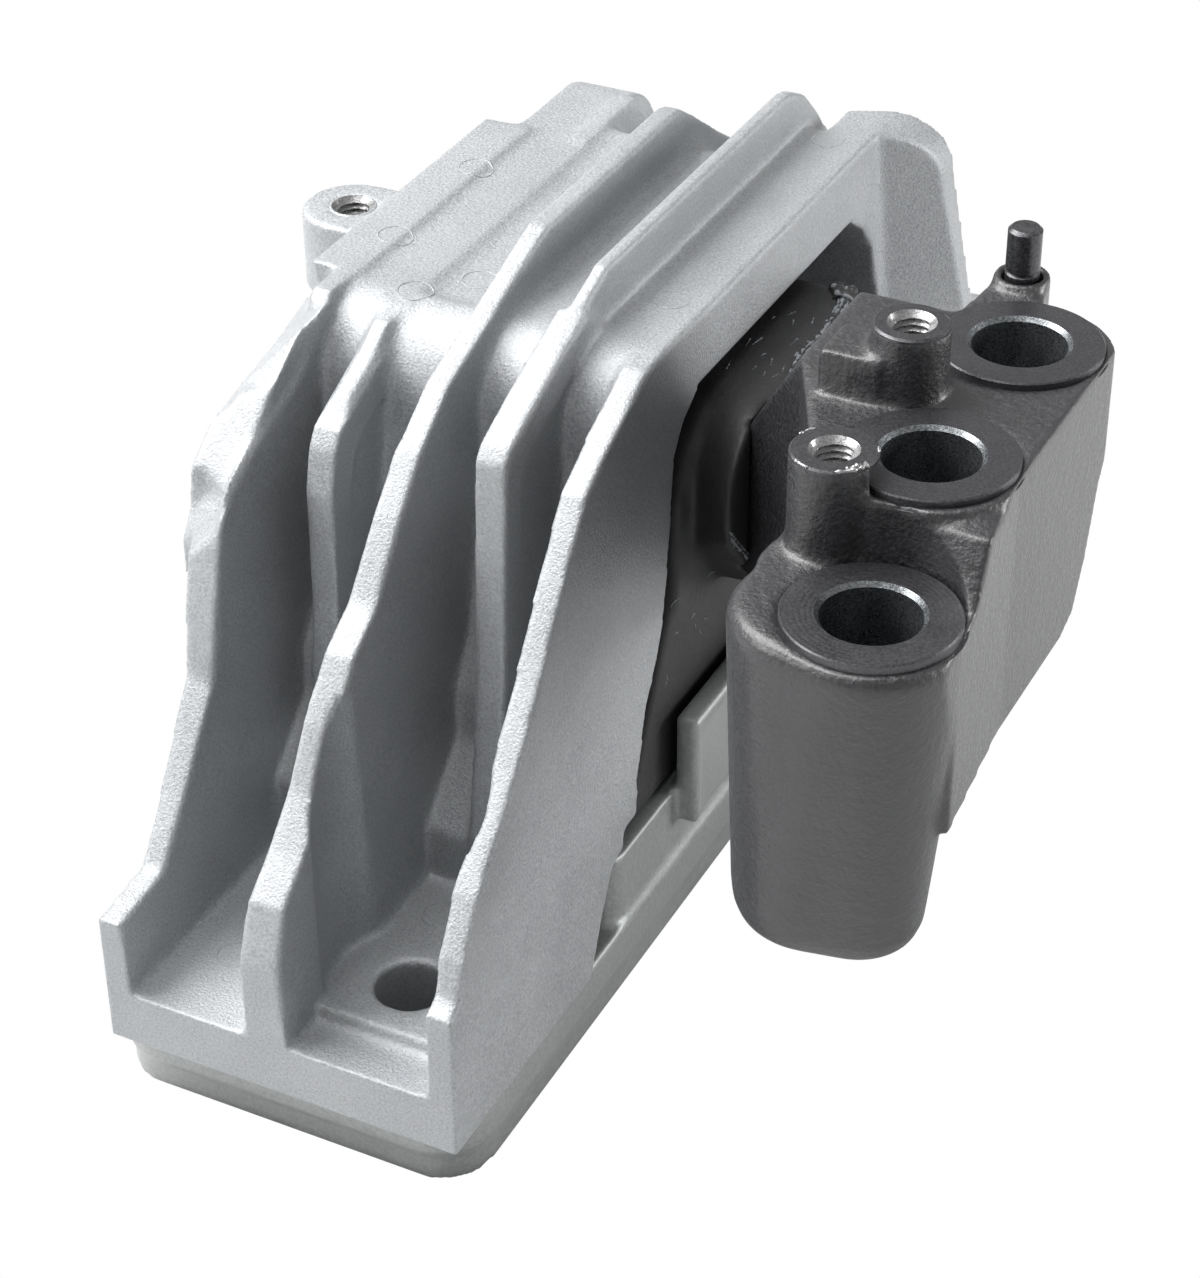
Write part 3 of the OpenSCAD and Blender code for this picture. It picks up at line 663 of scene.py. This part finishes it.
rubber = metal("rubber", dark=(0.010, 0.010, 0.011), light=(0.02, 0.02, 0.021),
               metallic=0.0, rough=(0.55, 0.7), patch=150, fine=1500,
               bump_size=1200, bump_depth=0.0001)
plain_steel = metal("plain_steel", dark=(0.3, 0.3, 0.3), light=(0.42, 0.42, 0.42),
                    metallic=0.9, rough=(0.35, 0.5), patch=120, fine=2000,
                    bump_size=1500, bump_depth=0.00003)
# Chalky flash is light grey. Along the bead it also stands in for the highlight on the ridge, so there it
# is partly a painted highlight.
chalk_and_painted_highlight = metal("chalky_flash_and_painted_highlight", dark=(0.10, 0.11, 0.12), light=(0.22, 0.23, 0.24),
              metallic=0.0, rough=(0.7, 0.9), patch=900, fine=4000,
              bump_size=3000, bump_depth=0.00004)
print("mixed", len(bpy.data.materials), "materials, the floor's among them")

# %% [markdown]
# Each finished piece gets its material and its body, and most take the place of a solid.

# %% Define how a piece is finished
def finish_piece(obj, material, replaces=None):
    """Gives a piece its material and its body."""
    obj.data.materials.clear()
    obj.data.materials.append(material)
    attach(obj, "root")
    if replaces:
        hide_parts(replaces)


def plan_place(name):
    """Where an upright mount stands on plan."""
    return mounts[name]["pos_m"][:2]


def top_of(name):
    """The height of the top of an upright bore, hole or pin."""
    return mounts[name]["pos_m"][2] + mounts[name]["dims"]["length_mm"] * MM / 2


def foot_of(name):
    """The height of the lower end of an upright bore, hole or pin."""
    return mounts[name]["pos_m"][2] - mounts[name]["dims"]["length_mm"] * MM / 2


def radius_of(name):
    """The radius of an upright bore, hole or pin."""
    return mounts[name]["dims"]["r_mm"] * MM


print("upright mounts:", ", ".join(name for name in mounts if "r_mm" in mounts[name]["dims"]))

# %% [markdown]
# ## Bridge
#
# The bridge is the blasted casting with the five ribs. The hole in its lug is widened to take a
# thread, and the left edge of its roof is trimmed down to the lowest strip.

# %% Copy the bridge and trim its roof
LUG_CUT_R = 0.0031
ROOF_TRIM = [(-60, 103.8), (18.6, 103.8), (18.6, 110), (-60, 110)]

lug_at = plan_place("side_lug_thread")
bridge_skin = copy_of("bridge", "bridge_skin")
bridge_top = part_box("bridge")[1].z
cut_holes(bridge_skin, [(lug_at, 0.07, bridge_top + 0.02, LUG_CUT_R)])
roof_cut = empty_mesh("roof_cut")
add_solid(roof_cut, ROOF_TRIM, -25.8, -15.0)
cut_by(bridge_skin, roof_cut)
print("copied the bridge, with", len(bridge_skin.data.polygons), "faces")

# %% [markdown]
# The shoulder on the left falls gently outwards from the edge of the first rib. Two lines of points
# bound its slope, one along the rib and one along the outside. What stands above the slope is cut
# off, a little beyond the outer line as well, and a slab under the slope fills what is missing.

# %% Slope the shoulder
RIB_SIDE = [(-27, -80, 79.5), (-27, -76.5, 82.8), (-27, -73.6, 85.7), (-27, -70.5, 88.3),
            (-27, -67, 90.9), (-27, -59.3, 97.2), (-27, -51.8, 102.1), (-25.9, -47.9, 103.6),
            (-25.9, -44.5, 104.2)]
OUT_SIDE = [(-34.2, -80, 74.5), (-34.2, -76, 77.8), (-34.2, -73.8, 81.0), (-34.2, -72.3, 88.2),
            (-34.2, -66.6, 92.4), (-34.2, -58.5, 94.2), (-34.2, -48.0, 96.3), (-34.2, -41.2, 98.4),
            (-34.2, -38.2, 99.5)]
BEYOND = 0.5
CUT_POINTS = 8
CUT_UP = 20
FILL_DOWN = -6

far_side = [tuple(np.add(o, BEYOND * np.subtract(o, e))) for o, e in zip(OUT_SIDE, RIB_SIDE)]
above = empty_mesh("above")
add_loft(above, far_side[:CUT_POINTS], RIB_SIDE[:CUT_POINTS], CUT_UP)
cut_by(bridge_skin, above)
add_loft(bridge_skin, OUT_SIDE[1:], RIB_SIDE[1:], FILL_DOWN)
print("sloped the shoulder between", len(OUT_SIDE), "pairs of points")

# %% [markdown]
# The second and the fourth rib are thicker along their sloping front edges than in their webs.

# %% Thicken two ribs
SECOND_EDGE = [(-68.2, 26), (-67.2, 48), (-65.1, 66), (-64.9, 83.6), (-63.3, 90.3), (-61.3, 93.3),
               (-54.8, 96), (-46.7, 99.8), (-41, 103.4), (-36, 103.9)]
FOURTH_EDGE = [(-71.5, 35.5), (-69.5, 48), (-67.7, 62.5), (-66.4, 86.5), (-65.8, 97.1),
               (-63.9, 99.3), (-56, 102.8), (-48.4, 105.9), (-40, 108.7)]
thick_edge(bridge_skin, SECOND_EDGE, -19.7, -15.0)
thick_edge(bridge_skin, FOURTH_EDGE, 9.1, 14.3)
print("thickened two ribs")

# %% [markdown]
# Nothing is filled round the four foot holes and the lug's hole, so that they stay round.

# %% Cast the bridge
FOOT_HOLE_KEEP = 0.0065
LUG_KEEP = 0.004

foot_holes = []
for pattern in ("right_foot_bolts", "left_foot_bolts"):
    x = mounts[pattern]["pos_m"][0]
    half_pitch = mounts[pattern]["dims"]["spacing_y_mm"] * MM / 2
    foot_holes += [((x, -half_pitch), FOOT_HOLE_KEEP), ((x, half_pitch), FOOT_HOLE_KEEP)]
cast_round(bridge_skin, voxel=0.0005, fill_steps=14, wear_steps=4,
           keep=foot_holes + [(lug_at, LUG_KEEP)])
thin_out(bridge_skin, 190000)
finish_piece(bridge_skin, blasted, "bridge")
bridge_tree = skin_tree(bridge_skin)

# %% [markdown]
# The ejector pins of the die left faint round marks on the flat parts, each about 5 mm across. A
# mark is kept only where the whole of it lies on one nearly level part.

# %% Lay the ejector marks
MARK_PLACES = [(-26.9, -23.7), (-16.2, -36.5), (-9.9, -28.2), (19.1, -22.6), (18.6, 36.8),
               (-16.0, -97.9), (8.0, -78.5), (-26.9, 2.0), (8.0, 10.0), (-16.0, 97.9), (8.0, 78.5)]
MARK_R = 0.0027
MARK_LINE_R = 0.00011
MARK_DROP = 0.0025
MARK_RAY_Z = 0.13

marks = []
for x, y in MARK_PLACES:
    aims = circle((x * MM, y * MM), MARK_R, MARK_RAY_Z)
    ring = lay(bridge_tree, aims, (0, 0, -1))
    levels = [p[2] for p in ring]
    if len(ring) == len(aims) and max(levels) - min(levels) < MARK_DROP:
        marks.append((ring, MARK_LINE_R, 0.3, True))
finish_piece(strands("ejector_marks", marks, seed=3), blasted)
print("laid", len(marks), "ejector marks")

# %% [markdown]
# ## Base
#
# The base is smoother than the bridge.

# %% Cast the base
base_skin = copy_of("base", "base_skin")
cast_round(base_skin, voxel=0.0006, fill_steps=4, wear_steps=4, keep=foot_holes)
thin_out(base_skin, 120000)
finish_piece(base_skin, smooth_cast, "base")

# %% [markdown]
# Metal squeezed out of the seam between the foot and the base, and stayed there as small burrs.

# %% Lay the burrs along the seam
CORNER_R = 0.009
BURR_R = 0.0003
BURR_STEP = 0.0005

base_low, base_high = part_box("base")
seam_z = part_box("bridge")[0].z - 0.0001
seam = []
for side in (-1, 1):
    edge_y = side * base_high.y
    ends = [(base_low.x + CORNER_R, edge_y, seam_z), (base_high.x - CORNER_R, edge_y, seam_z)]
    seam.append((along(ends, BURR_STEP), BURR_R, 1.2, False))
finish_piece(strands("seam_burrs", seam, seed=5), smooth_cast)
print("laid burrs along", len(seam), "seams")

# %% [markdown]
# ## Arm
#
# The iron arm is one casting in thick black paint. Its bores and the rings round them are machined
# after casting, so they are separate pieces with crisp edges, and the casting is cut back for them.

# %% Cast the arm
BORES = ("front_arm_bore", "middle_arm_bore", "rear_arm_bore")
BORE_CUT_R = 0.00695
UNDER_ARM, OVER_ARM = 0.03, 0.13
RING_R = 0.0118
RING_GROOVE = 0.0004
RING_CUT = 0.0013
TAP_CUT_R = 0.0032
TAP_CUT_DEPTH = 0.013
KEEP_ROUND_HOLES = 0.001

holes = []
for name in BORES:
    holes.append((plan_place(name), UNDER_ARM, OVER_ARM, BORE_CUT_R))
    holes.append((plan_place(name), top_of(name) - RING_CUT, OVER_ARM, RING_R + RING_GROOVE))
for name in ("front_boss_thread", "rear_boss_thread"):
    z_top = top_of(name)
    holes.append((plan_place(name), z_top - TAP_CUT_DEPTH, z_top + 0.01, TAP_CUT_R))
arm_skin = copy_of("arm", "arm_skin")
cut_holes(arm_skin, holes)
cast_round(arm_skin, voxel=0.0005, fill_steps=26, wear_steps=4,
           keep=[(hole[0], hole[3] + KEEP_ROUND_HOLES) for hole in holes])
thin_out(arm_skin, 190000)
finish_piece(arm_skin, black_iron, "arm")

# %% [markdown]
# A revolved outline makes each machined ring, and another the wall of its bore. The arm's underside
# slants, so a wall ends where the metal no longer goes all the way round it.

# %% Define the turning tools
def revolve(name, centre, outline, sides=96):
    """A surface of revolution about an upright axis, from radius and height pairs."""
    verts = []
    faces = []
    for i in range(sides):
        angle = 2 * math.pi * i / sides
        for radius, z in outline:
            verts.append((radius * math.cos(angle), radius * math.sin(angle), z))
    n = len(outline)
    for i in range(sides):
        j = (i + 1) % sides
        for k in range(n - 1):
            faces.append((i * n + k, j * n + k, j * n + k + 1, i * n + k + 1))
    obj = mesh_object(name, verts, faces, smooth=True)
    obj.location = (centre[0], centre[1], 0)
    obj.data.set_sharp_from_angle(angle=math.radians(30))
    return obj


def from_height(outline, z):
    """An outline whose heights are counted from z."""
    return [(radius, z + up) for radius, up in outline]


def closed_from(tree, x, y, z_low, z_top, r, step=0.0004):
    """The lowest height above which a bore has metal all round it."""
    angles = np.linspace(0, 2 * math.pi, 24, endpoint=False)
    ways = [Vector((math.cos(a), math.sin(a), 0)) for a in angles]
    z = z_low + 2 * step
    while z < z_top and any(tree.ray_cast(Vector((x, y, z)), w, r + 0.001)[0] is None for w in ways):
        z += step
    return z


print("turning tools ready")

# %% Machine the rings
WALL_GAP = 0.00004
RING_LIFT = 0.00005
CHAMFER = 0.0006
RING_OUTLINE = [(RING_R + 0.0006, -0.0016), (RING_R, -0.0014), (RING_R, -0.0002),
                (RING_R - 0.0002, 0.0)]

arm_tree = skin_tree(arm_skin)
for name in BORES:
    x, y = plan_place(name)
    r = radius_of(name) - WALL_GAP
    z_top = top_of(name) + RING_LIFT
    z_low = closed_from(arm_tree, x, y, foot_of(name), z_top, r)
    ring_outline = from_height(RING_OUTLINE + [(r + CHAMFER, 0.0)], z_top)
    finish_piece(revolve("ring_" + name, (x, y), ring_outline), machined)
    wall_outline = [(r + CHAMFER, z_top), (r, z_top - CHAMFER), (r, z_low)]
    finish_piece(revolve("wall_of_" + name, (x, y), wall_outline), bored)
    print(name, "has a wall from", round(z_low, 4), "to", round(z_top, 4))

# %% [markdown]
# ## Threads
#
# Each tapped hole has a real thread: a wall whose radius rises and falls once for each turn. A
# machined rim lies round its mouth.

# %% Define the thread
MOUTH = 0.0006
MOUTH_R = 0.0004
DRILL_TIP = 0.0008


def ring_of(centre, radii, z):
    """A level ring of points, one for each radius."""
    n = len(radii)
    return [(centre[0] + r * math.cos(2 * math.pi * i / n),
             centre[1] + r * math.sin(2 * math.pi * i / n), z) for i, r in enumerate(radii)]


def thread(name, centre, z_top, depth, minor, major, pitch, sides=48, per_turn=8):
    """A tapped wall with a small countersink at its mouth and a pointed end."""
    rows = int(depth / pitch * per_turn)
    verts = []
    faces = []
    for k in range(rows + 1):
        phases = [(k / per_turn - i / sides) % 1.0 for i in range(sides)]
        radii = [minor + (major - minor) * (1 - abs(2 * phase - 1)) for phase in phases]
        verts += ring_of(centre, radii, z_top - MOUTH - depth * k / rows)
    verts += ring_of(centre, [major + MOUTH_R] * sides, z_top)
    verts.append((centre[0], centre[1], z_top - MOUTH - depth - DRILL_TIP))
    end = rows * sides
    mouth = end + sides
    for i in range(sides):
        j = (i + 1) % sides
        for k in range(rows):
            faces.append((k * sides + i, k * sides + j, (k + 1) * sides + j, (k + 1) * sides + i))
        faces.append((mouth + i, mouth + j, j, i))
        faces.append((end + i, end + j, len(verts) - 1))
    return mesh_object(name, verts, faces)


print("thread ready")

# %% Cut the threads
THREAD_DEPTH = 0.0115
THREAD_MINOR, THREAD_MAJOR = 0.0025, 0.003
THREAD_PITCH = 0.001
THREAD_LIFT = 0.00008
RIM_IN_R = 0.0034
# Each tapped hole has the radius of its rim, the rim's material and the slot that both belong to.
TAPPED = {"front_boss_thread": (0.0059, machined, "arm"),
          "rear_boss_thread": (0.0053, machined, "arm"),
          "side_lug_thread": (0.0039, blasted, "bridge")}

for name, (rim_r, rim_metal, slot) in TAPPED.items():
    at, z_top = plan_place(name), top_of(name)
    wall = thread("wall_of_" + name, at, z_top + THREAD_LIFT, THREAD_DEPTH, THREAD_MINOR,
                  THREAD_MAJOR, THREAD_PITCH)
    finish_piece(wall, thread_metal)
    rim = [(rim_r, -0.0006), (rim_r, -0.00022), (rim_r - 0.0003, 0.00006),
           (RIM_IN_R, THREAD_LIFT), (RIM_IN_R, -0.0003)]
    finish_piece(revolve("rim_of_" + name, at, from_height(rim, z_top)), rim_metal)
print("cut", len(TAPPED), "threads")

# %% [markdown]
# Tools have chipped the paint from the edge of the front boss, and the iron shines through.

# %% Chip the front boss
# Each chip is an arc: the angle where it starts, how far it runs, its radius and its thickness.
CHIPS = [(-1.2, 0.9, 0.0056, 0.00035), (-0.9, 0.5, 0.0050, 0.0003), (-2.2, 0.4, 0.0058, 0.0002),
         (0.3, 0.3, 0.0057, 0.0002), (2.4, 0.5, 0.0057, 0.00018)]
boss_at, boss_top = plan_place("front_boss_thread"), top_of("front_boss_thread")
chips = []
for start, sweep, radius, thickness in CHIPS:
    arc = circle(boss_at, radius, boss_top, count=14, start=start, sweep=sweep)
    chips.append((arc, thickness, 0.8, False))
finish_piece(strands("boss_chips", chips, seed=17), plain_steel)
print("made", len(chips), "chips")

# %% [markdown]
# ## Pin
#
# The short steel pin stands in its collar, with a shallow groove where it leaves the collar.

# %% Make the pin
PIN_SUNK = 0.006
pin_r, pin_low, pin_top = radius_of("locating_pin"), foot_of("locating_pin"), top_of("locating_pin")
pin_outline = [(0.0, pin_top), (pin_r - 0.0005, pin_top), (pin_r, pin_top - 0.0005),
               (pin_r, pin_low + 0.0008), (pin_r - 0.0003, pin_low + 0.0005),
               (pin_r, pin_low + 0.0002), (pin_r, pin_low - PIN_SUNK), (0.0, pin_low - PIN_SUNK)]
pin = revolve("pin", plan_place("locating_pin"), pin_outline)
finish_piece(pin, pin_metal, "locating_pin")
print("made the pin")

# %% [markdown]
# ## Rubber
#
# The rubber's block and legs come from the solid. Its end walls, which close the fluid chamber, the
# ridge and the lip beside the window, and the slanted lower corner of its front are shaped here. The
# remesh joins them into one soft body.

# %% Mould the rubber
LEG_FOOT = 26.4
END_WALL = [(-53.2, LEG_FOOT), (-46.7, 34), (-34, 60), (34, 60), (46.7, 34), (53.2, LEG_FOOT)]
RIDGE = [(41.2, 27), (43.4, 27), (43.8, 45), (41.6, 45)]
LIP = [(45.5, 26.4), (52.5, 26.4), (52.5, 28.4), (50, 31), (47, 31)]
FRONT_CORNER = [(-60, 101.3), (-60, 50), (-15.5, 50)]

rubber_skin = copy_of("main_spring", "rubber_skin")
add_solid(rubber_skin, END_WALL, 19, 25.4)
add_solid(rubber_skin, END_WALL, -18, -12)
for side in (-1, 1):
    add_solid(rubber_skin, [(side * y, z) for y, z in RIDGE], 24, 26.9)
    add_solid(rubber_skin, [(side * y, z) for y, z in LIP], 24, 28.6)
corner = empty_mesh("corner")
add_solid(corner, FRONT_CORNER, 25.6, 60)
cut_by(rubber_skin, corner)
cast_round(rubber_skin, voxel=0.0008, fill_steps=10, wear_steps=6)
thin_out(rubber_skin, 80000)
finish_piece(rubber_skin, rubber, "main_spring")
rubber_tree = skin_tree(rubber_skin)

# %% [markdown]
# A moulded bead runs over the rubber's top where the iron comes out, and ends in a folded lump.

# %% Lay the bead
RAY_Z = 0.12
BEAD_STEP = 0.0006
BEAD = [(32.1, 16.0), (33.9, 9.4), (34.5, 0.2), (34.1, -5.9), (34.6, -11.6), (35.6, -18.3),
        (35.8, -24.0)]
LUMP = [(29.5, 15.5), (31.5, 12.5), (34.5, 12.0), (35, 15.0)]


def laid_from_above(plan, step):
    """A line on the rubber, given on plan in millimetres."""
    aims = along([(x * MM, y * MM, RAY_Z) for x, y in plan], step)
    return lay(rubber_tree, aims, (0, 0, -1))


bead_line = laid_from_above(BEAD, BEAD_STEP)
lump_line = laid_from_above(LUMP, BEAD_STEP)
bead_rows = [(bead_line, 0.0009, 0.25, False), (lump_line, 0.0013, 0.3, False)]
finish_piece(strands("rubber_bead", bead_rows, seed=7, sides=10), rubber)
print("laid a bead of", len(bead_line), "points and a lump of", len(lump_line))

# %% [markdown]
# Chalky mould flash clings to the bead, and its light lines there also paint the highlight along
# the ridge. The flash runs down the crease in the rubber's front and ends in a small loop.

# %% Lay the flash and painted highlight on the bead, and the flash in the crease
RAY_X = 0.08
CREASE = [(-36.9, 76.5), (-33.5, 72.2), (-28.9, 67.0), (-24, 61.5), (-20.6, 57.4)]
# Each line on the bead, chalky flash that also paints the ridge's highlight, has the step that it is
# moved by, its radius and its wobble.
BEAD_FLASH_AND_HIGHLIGHT = [(bead_line, (-0.0008, 0, 0.0004), 0.00026, 1.1),
           (bead_line, (0.0001, 0, 0.0008), 0.00016, 1.3),
           (bead_line, (-0.0015, 0, 0.00005), 0.0002, 1.4),
           (lump_line, (0, -0.001, 0.001), 0.0003, 1.1)]


def lifted(points, by):
    """The same points, moved by a small step."""
    return [tuple(np.add(p, by)) for p in points]


# The lines along the bead are light grey: chalky flash, and a painted highlight along the ridge.
flash_and_highlight = [(lifted(line, by), radius, wobble, False) for line, by, radius, wobble in BEAD_FLASH_AND_HIGHLIGHT]
crease = along([(RAY_X, y * MM, z * MM) for y, z in CREASE], 0.0004)
for shift, radius in ((0, 0.0002), (0.0007, 0.00014)):
    line = lay(rubber_tree, lifted(crease, (0, 0, shift)), (-1, 0, 0))
    flash_and_highlight.append((line, radius, 1.3, False))
loop = [(RAY_X, (-34.6 + 1.6 * math.cos(t)) * MM, (70.6 + 1.9 * math.sin(t)) * MM)
        for t in np.linspace(0, 6, 26)]
flash_and_highlight.append((lay(rubber_tree, loop, (-1, 0, 0)), 0.00013, 0.7, False))
print("laid", len(flash_and_highlight), "lines of flash so far")

# %% [markdown]
# Small curls and short lines of the same flash are scattered over the front and the top.

# %% Scatter the rest of the flash
scatter = np.random.default_rng(11)
for _ in range(16):
    y, z = scatter.uniform(-39, -22), scatter.uniform(46, 66)
    start, size = scatter.uniform(0, 6.3), scatter.uniform(0.7, 1.6)
    curl = [(RAY_X, (y + size * math.cos(start + t)) * MM, (z + size * math.sin(start + t)) * MM)
            for t in np.linspace(0, 1.5, 9)]
    flash_and_highlight.append((lay(rubber_tree, curl, (-1, 0, 0)), 0.00012, 0.8, False))
for _ in range(14):
    x, y = scatter.uniform(24, 33), scatter.uniform(-16, 4)
    far_end = (x + scatter.uniform(-1, 1), y + scatter.uniform(1, 3.5))
    flash_and_highlight.append((laid_from_above([(x, y), far_end], 0.0003), 0.0001, 1.0, False))
# All these lines are light grey chalky flash. Those along the bead also paint the ridge's highlight.
finish_piece(strands("rubber_flash_and_highlight", flash_and_highlight, seed=13), chalk_and_painted_highlight)
print("laid", len(flash_and_highlight), "lines of flash")

# %% [markdown]
# ## Hidden pieces
#
# The pieces inside the base keep their solids, and get the same materials.

# %% Give the hidden pieces their materials
for name, material in (("spring_ring", plain_steel), ("upper_orifice_plate", smooth_cast),
                       ("decoupler_membrane", rubber), ("lower_orifice_plate", smooth_cast),
                       ("bellows", rubber), ("bellows_ring", plain_steel), ("bottom_cover", plain_steel)):
    for slot in nodes[name].material_slots:
        slot.material = material
print("hidden pieces dressed")
